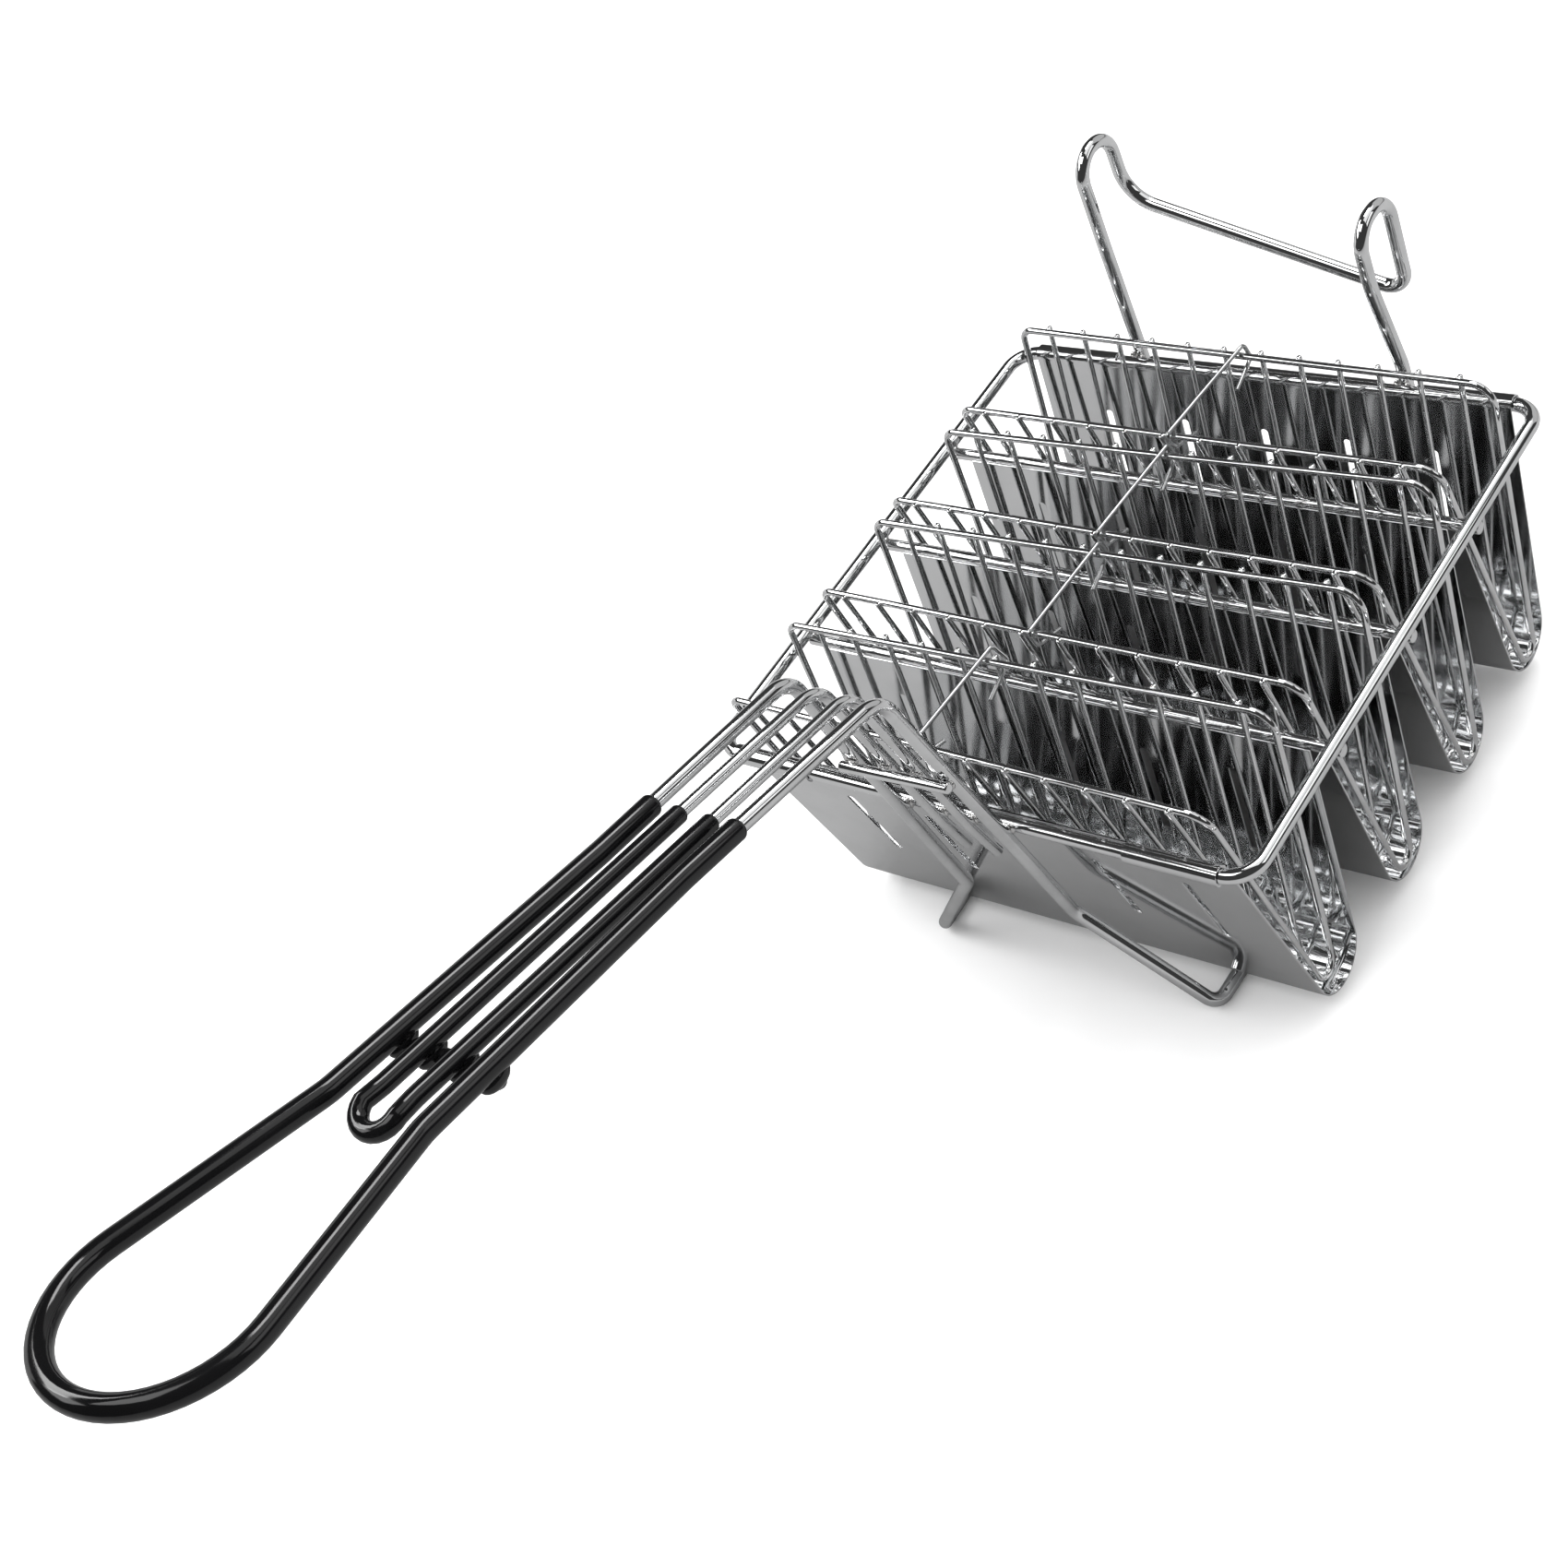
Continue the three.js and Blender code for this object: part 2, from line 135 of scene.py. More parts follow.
def drawn_wire():
    """Geometry Nodes: sweeps a round section along the edges, scaled by their girth."""
    tree = bpy.data.node_groups.new("Drawn wire", "GeometryNodeTree")
    face = tree.interface
    face.new_socket("Path", in_out="INPUT", socket_type="NodeSocketGeometry")
    face.new_socket("Wire radius", in_out="INPUT", socket_type="NodeSocketFloat")
    face.new_socket("Sides", in_out="INPUT", socket_type="NodeSocketInt")
    face.new_socket("Finish", in_out="INPUT", socket_type="NodeSocketMaterial")
    face.new_socket("Wire", in_out="OUTPUT", socket_type="NodeSocketGeometry")
    new, link = tree.nodes.new, tree.links.new
    enter, leave = new("NodeGroupInput"), new("NodeGroupOutput")
    curve = new("GeometryNodeMeshToCurve")
    girth = new("GeometryNodeInputNamedAttribute")
    girth.data_type = "FLOAT"
    girth.inputs["Name"].default_value = "girth"
    sized = new("GeometryNodeSetCurveRadius")
    ring = new("GeometryNodeCurvePrimitiveCircle")
    sweep = new("GeometryNodeCurveToMesh")
    sweep.inputs["Fill Caps"].default_value = True
    smooth = new("GeometryNodeSetShadeSmooth")
    real = new("GeometryNodeRealizeInstances")
    paint = new("GeometryNodeSetMaterial")
    link(enter.outputs["Path"], curve.inputs["Mesh"])
    link(curve.outputs[0], sized.inputs["Curve"])
    link(girth.outputs["Attribute"], sized.inputs["Radius"])
    link(enter.outputs["Sides"], ring.inputs["Resolution"])
    link(enter.outputs["Wire radius"], ring.inputs["Radius"])
    link(sized.outputs["Curve"], sweep.inputs["Curve"])
    link(ring.outputs["Curve"], sweep.inputs["Profile Curve"])
    if "Scale" in sweep.inputs:
        link(girth.outputs["Attribute"], sweep.inputs["Scale"])
    link(sweep.outputs["Mesh"], smooth.inputs["Geometry"])
    link(smooth.outputs["Geometry"], real.inputs["Geometry"])
    link(real.outputs["Geometry"], paint.inputs["Geometry"])
    link(enter.outputs["Finish"], paint.inputs["Material"])
    link(paint.outputs["Geometry"], leave.inputs["Wire"])
    return tree


wire_tree = drawn_wire()


def set_inputs(modifier, tree, values):
    for item in tree.interface.items_tree:
        if item.item_type == "SOCKET" and item.in_out == "INPUT" and item.name in values:
            modifier[item.identifier] = values[item.name]


def settle(name, source, body, nodes):
    """Turns an object with live modifiers into a plain mesh piece that rides on its body."""
    bpy.context.view_layer.update()
    graph = bpy.context.evaluated_depsgraph_get()
    mesh = bpy.data.meshes.new_from_object(source.evaluated_get(graph))
    mesh.name = name
    piece = bpy.data.objects.new(name, mesh)
    bpy.context.scene.collection.objects.link(piece)
    bpy.data.objects.remove(source)
    for extra in [a.name for a in mesh.attributes if a.name in ("girth", "size")]:
        mesh.attributes.remove(mesh.attributes[extra])
    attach(piece, body)
    if nodes:
        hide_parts(*nodes)
    return piece


def path_object(name, runs):
    """Edges along each run (points, girths, closed), moved to the shared frame, in metres."""
    verts, edges, girths = [], [], []
    for points, slim, closed in runs:
        base = len(verts)
        verts += [rail_base + p / 1000 for p in points]
        girths += slim
        edges += [(base + i, base + i + 1) for i in range(len(points) - 1)]
        if closed:
            edges.append((len(verts) - 1, base))
    mesh = bpy.data.meshes.new(name)
    mesh.from_pydata(verts, edges, [])
    mesh.attributes.new("girth", "FLOAT", "POINT").data.foreach_set("value", girths)
    source = bpy.data.objects.new(name, mesh)
    bpy.context.scene.collection.objects.link(source)
    return source


def lay_wire(name, runs, radius, finish, body, nodes, sides=24):
    source = path_object(name + "_path", runs)
    modifier = source.modifiers.new("wire", "NODES")
    modifier.node_group = wire_tree
    set_inputs(modifier, wire_tree,
               {"Wire radius": radius / 1000, "Sides": sides, "Finish": finish})
    return settle(name, source, body, nodes)


def handling_marks():
    """Shader group: faint smudges, fine drawing lines and a slow waviness for polished steel."""
    tree = bpy.data.node_groups.new("Handling marks", "ShaderNodeTree")
    face = tree.interface
    for label, value in (("Smudge size", 22.0), ("Line length", 40.0), ("Line count", 1800.0),
                         ("Wave count", 26.0)):
        face.new_socket(label, in_out="INPUT", socket_type="NodeSocketFloat").default_value = value
    for label in ("Smudges", "Lines", "Waves"):
        face.new_socket(label, in_out="OUTPUT", socket_type="NodeSocketFloat")
    new, link = tree.nodes.new, tree.links.new
    enter, leave = new("NodeGroupInput"), new("NodeGroupOutput")
    place = new("ShaderNodeTexCoord")
    cloud = new("ShaderNodeTexNoise")
    cloud.inputs["Detail"].default_value = 5.0
    cloud.inputs["Roughness"].default_value = 0.62
    link(place.outputs["Object"], cloud.inputs["Vector"])
    link(enter.outputs["Smudge size"], cloud.inputs["Scale"])
    soft = new("ShaderNodeMapRange")
    soft.inputs["From Min"].default_value = 0.42
    soft.inputs["From Max"].default_value = 0.72
    link(cloud.outputs["Fac"], soft.inputs["Value"])
    link(soft.outputs["Result"], leave.inputs["Smudges"])
    stretch = new("ShaderNodeCombineXYZ")
    link(enter.outputs["Line length"], stretch.inputs["X"])
    link(enter.outputs["Line count"], stretch.inputs["Y"])
    link(enter.outputs["Line count"], stretch.inputs["Z"])
    along = new("ShaderNodeVectorMath")
    along.operation = "MULTIPLY"
    link(place.outputs["Object"], along.inputs[0])
    link(stretch.outputs["Vector"], along.inputs[1])
    lines = new("ShaderNodeTexNoise")
    lines.inputs["Scale"].default_value = 1.0
    lines.inputs["Detail"].default_value = 3.0
    link(along.outputs["Vector"], lines.inputs["Vector"])
    link(lines.outputs["Fac"], leave.inputs["Lines"])
    slow = new("ShaderNodeTexNoise")
    slow.inputs["Detail"].default_value = 1.0
    link(place.outputs["Object"], slow.inputs["Vector"])
    link(enter.outputs["Wave count"], slow.inputs["Scale"])
    link(slow.outputs["Fac"], leave.inputs["Waves"])
    return tree


marks_tree = handling_marks()


def steel(name, color, dark, rough, rough_smudged, smudge, line, count, grain, wave, waves=26.0):
    """Polished stainless: smudges dull it, drawing lines and slow waves bend its reflections.

    smudge, line, count and waves are counts per metre; grain and wave are bump strengths.
    """
    finish = bpy.data.materials.new(name)
    finish.use_nodes = True
    nodes, link = finish.node_tree.nodes, finish.node_tree.links.new
    shader = nodes["Principled BSDF"]
    shader.inputs["Metallic"].default_value = 1.0
    marks = nodes.new("ShaderNodeGroup")
    marks.node_tree = marks_tree
    marks.inputs["Smudge size"].default_value = smudge
    marks.inputs["Line length"].default_value = line
    marks.inputs["Line count"].default_value = count
    marks.inputs["Wave count"].default_value = waves
    tone = nodes.new("ShaderNodeMix")
    tone.data_type = "RGBA"
    tone.inputs[6].default_value = (*color, 1)
    tone.inputs[7].default_value = (*dark, 1)
    link(marks.outputs["Smudges"], tone.inputs[0])
    link(tone.outputs[2], shader.inputs["Base Color"])
    gloss = nodes.new("ShaderNodeMapRange")
    gloss.inputs["To Min"].default_value = rough
    gloss.inputs["To Max"].default_value = rough_smudged
    link(marks.outputs["Smudges"], gloss.inputs["Value"])
    link(gloss.outputs["Result"], shader.inputs["Roughness"])
    fine = nodes.new("ShaderNodeBump")
    fine.inputs["Strength"].default_value = grain
    fine.inputs["Distance"].default_value = 0.00002
    link(marks.outputs["Lines"], fine.inputs["Height"])
    broad = nodes.new("ShaderNodeBump")
    broad.inputs["Strength"].default_value = wave
    broad.inputs["Distance"].default_value = 0.002
    link(marks.outputs["Waves"], broad.inputs["Height"])
    link(fine.outputs["Normal"], broad.inputs["Normal"])
    link(broad.outputs["Normal"], shader.inputs["Normal"])
    return finish


bright_wire = steel("bright_wire", color=(0.82, 0.825, 0.83), dark=(0.70, 0.705, 0.71),
                    rough=0.035, rough_smudged=0.09, smudge=60.0, line=300.0, count=1500.0,
                    grain=0.02, wave=0.004)
rail_corner = 10
rail_loop = bend([(x, y, 0, rail_corner) for x, y in (
    (-rail_half, 0), (rail_half, 0), (rail_half, rail_length), (-rail_half, rail_length))],
    closed=True, step=5)
lay_wire("frame_rail_wire", [(rail_loop, [1.0] * len(rail_loop), True)], rail_radius,
         bright_wire, "basket", ["frame_rail"], sides=32)


# Ridge rods: three straight rods welded under the side rails, between one
# trough and the next. The ends are sheared and the welds are small beads.
ridge_radius = 2.2
ridge_nodes = ["ridge_rod_1", "ridge_rod_2", "ridge_rod_3"]
ridge_runs, ridge_y, ridge_z = [], [], 0
for node in ridge_nodes:
    lo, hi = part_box(node)
    y = ((lo.y + hi.y) / 2 - rail_base.y) * 1000
    ridge_z = ((lo.z + hi.z) / 2 - rail_base.z) * 1000
    ridge_y.append(y)
    ends = [Vector((lo.x * 1000, y, ridge_z)), Vector((hi.x * 1000, y, ridge_z))]
    ridge_runs.append((*end_shape(ends, ridge_radius, 0.25), False))
lay_wire("ridge_rod_set", ridge_runs, ridge_radius, bright_wire,
         "basket", ridge_nodes)


def weld_beads():
    """Geometry Nodes: a rounded bead of metal at each point, stretched by the point's size."""
    tree = bpy.data.node_groups.new("Weld beads", "GeometryNodeTree")
    face = tree.interface
    face.new_socket("Spots", in_out="INPUT", socket_type="NodeSocketGeometry")
    face.new_socket("Ripple", in_out="INPUT", socket_type="NodeSocketFloat")
    face.new_socket("Finish", in_out="INPUT", socket_type="NodeSocketMaterial")
    face.new_socket("Beads", in_out="OUTPUT", socket_type="NodeSocketGeometry")
    new, link = tree.nodes.new, tree.links.new
    enter, leave = new("NodeGroupInput"), new("NodeGroupOutput")
    blob = new("GeometryNodeMeshIcoSphere")
    blob.inputs["Radius"].default_value = 1.0
    blob.inputs["Subdivisions"].default_value = 3
    size = new("GeometryNodeInputNamedAttribute")
    size.data_type = "FLOAT_VECTOR"
    size.inputs["Name"].default_value = "size"
    put = new("GeometryNodeInstanceOnPoints")
    real = new("GeometryNodeRealizeInstances")
    noise = new("ShaderNodeTexNoise")
    noise.inputs["Scale"].default_value = 900.0
    noise.inputs["Detail"].default_value = 1.0
    normal = new("GeometryNodeInputNormal")
    shift = new("ShaderNodeMath")
    shift.operation = "SUBTRACT"
    shift.inputs[1].default_value = 0.5
    push = new("ShaderNodeMath")
    push.operation = "MULTIPLY"
    lump = new("ShaderNodeVectorMath")
    lump.operation = "SCALE"
    move = new("GeometryNodeSetPosition")
    smooth = new("GeometryNodeSetShadeSmooth")
    paint = new("GeometryNodeSetMaterial")
    link(enter.outputs["Spots"], put.inputs["Points"])
    link(blob.outputs["Mesh"], put.inputs["Instance"])
    link(size.outputs["Attribute"], put.inputs["Scale"])
    link(put.outputs["Instances"], real.inputs["Geometry"])
    link(real.outputs["Geometry"], move.inputs["Geometry"])
    link(noise.outputs["Fac"], shift.inputs[0])
    link(shift.outputs[0], push.inputs[0])
    link(enter.outputs["Ripple"], push.inputs[1])
    link(normal.outputs["Normal"], lump.inputs[0])
    link(push.outputs[0], lump.inputs["Scale"])
    link(lump.outputs["Vector"], move.inputs["Offset"])
    link(move.outputs["Geometry"], smooth.inputs["Geometry"])
    link(smooth.outputs["Geometry"], paint.inputs["Geometry"])
    link(enter.outputs["Finish"], paint.inputs["Material"])
    link(paint.outputs["Geometry"], leave.inputs["Beads"])
    return tree


bead_tree = weld_beads()
weld_metal = steel("weld_metal", color=(0.74, 0.735, 0.73), dark=(0.50, 0.49, 0.48),
                   rough=0.16, rough_smudged=0.34, smudge=240.0, line=600.0, count=900.0,
                   grain=0.6, wave=0.0)


def lay_beads(name, spots, body, finish=weld_metal, ripple=0.25):
    """A bead at each spot (x, y, z, half length, half depth, half height)."""
    mesh = bpy.data.meshes.new(name)
    mesh.from_pydata([rail_base + Vector(s[:3]) / 1000 for s in spots], [], [])
    sizes = [v / 1000 for s in spots for v in s[3:]]
    mesh.attributes.new("size", "FLOAT_VECTOR", "POINT").data.foreach_set("vector", sizes)
    source = bpy.data.objects.new(name + "_spots", mesh)
    bpy.context.scene.collection.objects.link(source)
    modifier = source.modifiers.new("beads", "NODES")
    modifier.node_group = bead_tree
    set_inputs(modifier, bead_tree, {"Ripple": ripple / 1000, "Finish": finish})
    return settle(name, source, body, [])


under_rail = -2.6
lay_beads("ridge_rod_welds", [(s * rail_half, y, under_rail, 1.5, 2.3, 0.9)
                              for y in ridge_y for s in (-1, 1)], "basket")


# Troughs: each is one sheet of 0.6 mm mirror stainless, slotted, then folded to
# a V round a bar. The inner walls are tacked to the ridge rods; the outer walls
# of the first and last are rolled over the frame rail as a hem.
sheet = 0.6
gap = 0.3
trough_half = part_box("trough_1")[1].x * 1000
trough_fold = 12.7
slot_pitch, slot_width, slot_top, slot_foot = 33.3, 3.0, -20.0, -58.0
front_slots, rear_slots, drain_slots = 6.0, -2.0, 10.0
drain_half_length, drain_half_width = 2.8, 1.1
hem_edge = -0.4
hem_start, hem_stop = 240, -60
bare_half = 62.5
hook_notch_x, hook_notch_half = 53.5, 7.0
notch_inner, notch_clear = 2.4, 6
nick_x, nick_foot, nick_top, nick_width = -54, -11.4, -5.7, 0.8
fold_y = [36.0, 86.0, 135.5, 185.0]
fold_z = (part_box("trough_2")[0].z - rail_base.z) * 1000 + sheet / 2

mirror_sheet = steel("mirror_sheet", color=(0.75, 0.755, 0.76), dark=(0.68, 0.685, 0.69),
                     rough=0.055, rough_smudged=0.11, smudge=30.0, line=20.0, count=1400.0,
                     grain=0.01, wave=0.05, waves=14.0)


def vee(front, rear, low_y, low_z, radius, steps):
    """(y, z) points of a V: straight wall, round fold, straight wall."""
    centre = Vector((low_y, low_z + radius))

    def touch(top, way):
        run = centre - top
        swing = asin(radius / run.length) * way
        reach = (run.length ** 2 - radius ** 2) ** 0.5
        run = Matrix.Rotation(swing, 2) @ run.normalized()
        return top + run * reach

    a, b = touch(front, -1) - centre, touch(rear, 1) - centre
    a0 = atan2(a.y, a.x) - (2 * pi if a.y > 0 else 0)
    b0 = atan2(b.y, b.x)
    arc = [centre + Vector((cos(t), sin(t))) * radius
           for t in (a0 + (b0 - a0) * k / steps for k in range(steps + 1))]
    return [front, *arc, rear]


def hem_points(middle, start, stop):
    reach = rail_radius + gap + sheet / 2
    angles = [radians(start + (stop - start) * k / 30) for k in range(31)]
    return [Vector((middle + reach * cos(a), reach * sin(a))) for a in angles]


def folded_sheet(path, x0, x1):
    """A sheet of even thickness that follows a (y, z) path, as a closed bmesh."""
    left, right = [], []
    for i, p in enumerate(path):
        before = (p - path[i - 1]).normalized() if i else None
        after = (path[i + 1] - p).normalized() if i < len(path) - 1 else None
        d = ((before or after) + (after or before)).normalized()
        reach = sheet / 2 / max(d.dot(after or before), 0.5)
        left.append(p + Vector((-d.y, d.x)) * reach)
        right.append(p + Vector((d.y, -d.x)) * reach)
    outline = left + right[::-1]
    made = bmesh.new()
    rings = [[made.verts.new(rail_base + Vector((x, q.x, q.y)) / 1000) for q in outline]
             for x in (x0, x1)]
    count, half = len(outline), len(left)
    for i in range(count):
        j = (i + 1) % count
        made.faces.new((rings[0][i], rings[0][j], rings[1][j], rings[1][i]))
    for ring in rings:
        for i in range(half - 1):
            made.faces.new((ring[i], ring[i + 1], ring[count - 2 - i], ring[count - 1 - i]))
    bmesh.ops.recalc_face_normals(made, faces=made.faces)
    return made


def add_block(made, x0, x1, y0, y1, z0, z1):
    block = bmesh.ops.create_cube(made, size=1.0)["verts"]
    middle = Vector(((x0 + x1) / 2, (y0 + y1) / 2, (z0 + z1) / 2))
    size = Vector((x1 - x0, y1 - y0, z1 - z0))
    for v in block:
        v.co = rail_base + (v.co * size + middle) / 1000


def add_slot(made, foot, run, x, z0, z1, width, deep=3.0):
    """A round-ended punch through a sloping wall, from z0 up to z1."""
    slope = run.normalized()
    half = (z1 - z0) / slope.y / 2 - width / 2
    middle = foot + run * (((z0 + z1) / 2 - foot.y) / run.y)
    out = Vector((0, -slope.y, slope.x))
    along = Vector((0, slope.x, slope.y))
    outline = []
    for k in range(26):
        a = 2 * pi * k / 26
        outline.append((cos(a) * width / 2, sin(a) * width / 2 + (half if sin(a) > 0 else -half)))
    rings = []
    for d in (-deep, deep):
        points = [Vector((x + u, middle.x, middle.y)) + along * v + out * d for u, v in outline]
        rings.append([made.verts.new(rail_base + p / 1000) for p in points])
    n = len(outline)
    for i in range(n):
        made.faces.new((rings[0][i], rings[0][(i + 1) % n], rings[1][(i + 1) % n], rings[1][i]))
    made.faces.new(rings[0][::-1])
    made.faces.new(rings[1])


def mesh_object(made, name):
    bmesh.ops.recalc_face_normals(made, faces=made.faces)
    mesh = bpy.data.meshes.new(name)
    made.to_mesh(mesh)
    made.free()
    solid = bpy.data.objects.new(name, mesh)
    bpy.context.scene.collection.objects.link(solid)
    return solid


for number in range(4):
    first, last = number == 0, number == 3
    wall = ridge_radius + gap + sheet / 2
    hem_reach = rail_radius + gap + sheet / 2
    front_top = (Vector((hem_reach, hem_edge)) if first
                 else Vector((ridge_y[number - 1] + wall, ridge_z)))
    rear_top = (Vector((rail_length - hem_reach, hem_edge)) if last
                else Vector((ridge_y[number] - wall, ridge_z)))
    profile = vee(front_top, rear_top, fold_y[number], fold_z, trough_fold, 28)
    front_wall = (profile[1], front_top - profile[1])
    rear_wall = (profile[-2], rear_top - profile[-2])
    if first:
        profile = hem_points(0, hem_start, 0) + profile
    if last:
        profile = profile + hem_points(rail_length, 180, hem_stop)
    blank = mesh_object(folded_sheet(profile, -trough_half, trough_half),
                        f"trough_{number + 1}_blank")
    blank.data.materials.append(mirror_sheet)
    punch = bmesh.new()
    for k in range(-2, 3):
        x = k * slot_pitch
        add_slot(punch, *front_wall, x + front_slots, slot_foot, slot_top, slot_width)
        add_slot(punch, *rear_wall, x + rear_slots, slot_foot, slot_top, slot_width)
        drain_x = x + drain_slots
        add_block(punch, drain_x - drain_half_length, drain_x + drain_half_length,
                  fold_y[number] - drain_half_width, fold_y[number] + drain_half_width,
                  fold_z - 2, fold_z + 2)
    if first:
        add_block(punch, -bare_half, bare_half,
                  -notch_clear, notch_inner, -notch_clear, notch_clear)
        add_slot(punch, *front_wall, nick_x, nick_foot, nick_top, nick_width, deep=1.0)
    if last:
        for x in (-hook_notch_x, hook_notch_x):
            add_block(punch, x - hook_notch_half, x + hook_notch_half,
                      rail_length - notch_inner, rail_length + notch_clear,
                      -notch_clear, notch_clear)
    cutter = mesh_object(punch, "slot_punch")
    cut = blank.modifiers.new("punched", "BOOLEAN")
    cut.operation, cut.solver, cut.object = "DIFFERENCE", "EXACT", cutter
    edge = blank.modifiers.new("deburred", "BEVEL")
    edge.width, edge.segments, edge.limit_method = 0.00012, 2, "ANGLE"
    edge.angle_limit = radians(50)
    edge.use_clamp_overlap = True
    bpy.context.view_layer.update()
    graph = bpy.context.evaluated_depsgraph_get()
    pressed = bpy.data.meshes.new_from_object(blank.evaluated_get(graph))
    blank.modifiers.clear()
    blank.data = pressed
    bpy.data.objects.remove(cutter)
    pressed.shade_smooth()
    pressed.set_sharp_from_angle(angle=radians(35))
    flat = blank.modifiers.new("flat walls", "WEIGHTED_NORMAL")
    flat.mode, flat.weight, flat.keep_sharp = "FACE_AREA", 100, True
    settle(f"trough_{number + 1}_sheet", blank, "basket",
           [f"trough_{number + 1}"])


# Outer handle wire: one 5 mm wire that starts under the front trough as a foot,
# runs up the front as a leg, turns over an arch and out along the handle, round
# the hand loop, and back down the other side to the second foot.
arch_z = 81.4
leg_tilt, handle_rise = 0.225, 0.22
foot_z = (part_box("outer_handle_wire")[0].z - rail_base.z) * 1000 + rail_radius


def leg_y(z):
    return -(2 * rail_radius + gap) - leg_tilt * z


arch_y = leg_y(arch_z)


def on_handle(x, y, radius=0, drop=0):
    return (x, y, arch_z + handle_rise * (arch_y - y) - drop, radius)


neck_x, neck_y, loop_y, loop_radius = 15.8, -110.0, -280.0, 31.0
arch_x, foot_x, knee_x, knee_z = 17.3, 58.0, 21.9, -51.0


def outer_path(start=None):
    def half(s):
        if start is None:
            run = [(s * foot_x, 38, foot_z), (s * (foot_x - 0.5), 15.5, foot_z, 6),
                   (s * knee_x, leg_y(knee_z), knee_z, 10), (s * 20.1, leg_y(0), 0),
                   (s * arch_x, arch_y, arch_z, 12)]
        else:
            along = (start - arch_y) / (neck_y - arch_y)
            run = [on_handle(s * (arch_x + (neck_x - arch_x) * along), start)]
        return run + [on_handle(s * neck_x, neck_y, 60), on_handle(s * 18, -212, 25)]

    loop = []
    for k in range(33):
        a = radians(11.3 - 202.6 * k / 32)
        loop.append(on_handle(loop_radius * cos(a), loop_y + loop_radius * sin(a)))
    return bend(half(1) + loop + half(-1)[::-1])


outer = outer_path()
lay_wire("outer_handle_steel", [(*end_shape(outer, rail_radius, 0.3), False)], rail_radius,
         bright_wire, "basket", ["outer_handle_wire"], sides=32)


# Inner handle wire: a thinner 4 mm wire bent to a long narrow loop. Its two cut
# ends lie on the front wall, and it is welded where it crosses the bare rail.
inner_radius = 2.0
grip_radius, inner_grip_radius = 3.55, 2.9
inner_drop = 0.7
inner_x, inner_tip_y, inner_tip_radius = 6.0, -210.6, 6.6


def inner_path(start=None):
    def half(s):
        if start is None:
            y0 = leg_y(0) + rail_radius - inner_radius
            run = [(s * inner_x, y0 + 6, -20), (s * inner_x, y0, 0, 20),
                   (s * inner_x, arch_y, arch_z - inner_drop, 12)]
        else:
            run = [on_handle(s * inner_x, start, 0, inner_drop)]
        return run + [on_handle(s * inner_x, -204, 20, inner_drop)]

    tip = []
    for k in range(13):
        a = radians(-180 * k / 12)
        tip.append(on_handle(inner_tip_radius * cos(a), inner_tip_y + inner_tip_radius * sin(a), 0,
                             inner_drop - 2.6 * sin(a)))
    return bend(half(1) + tip + half(-1)[::-1])


inner = inner_path()
lay_wire("inner_handle_steel", [(*end_shape(inner, inner_radius, 0.3), False)], inner_radius,
         bright_wire, "basket", ["inner_handle_wire"])


# Leg crossbar: a short thin rod across the front of the four wires that keeps
# them in line, welded to each of them.
bar_radius = 1.9


def bar_y(z):
    return leg_y(z) - rail_radius - bar_radius - gap


bar_left, bar_right = (-22.5, 34.0), (22.0, 37.5)
bar_ends = [Vector((x, bar_y(z) + 0.1, z)) for x, z in (bar_left, bar_right)]
lay_wire("leg_crossbar_rod", [(*end_shape(bar_ends, bar_radius, 0.35), False)], bar_radius,
         bright_wire, "basket", ["leg_crossbar"])
leg_welds = []
for s in (-1, 1):
    leg_welds.append((s * 18.9, leg_y(35.6) - 2.3, 35.6, 2.6, 1.2, 2.2))
    leg_welds.append((s * inner_x, leg_y(35.6) - 1.2, 35.6, 2.2, 1.6, 1.9))
    leg_welds.append((s * 20.2, -2.6, 0.2, 2.2, 1.1, 2.6))
    leg_welds.append((s * inner_x, -2.5, 0, 2.0, 1.0, 2.4))
    leg_welds.append((s * foot_x, 34, foot_z + 2.6, 2.2, 3.4, 0.7))
lay_beads("leg_welds", leg_welds, "basket")


# Handle coating: both handle wires are dipped together in soft black vinyl,
# which leaves rounded lips at the arch end and glossy skin round the loop.
grip_start = -86.0


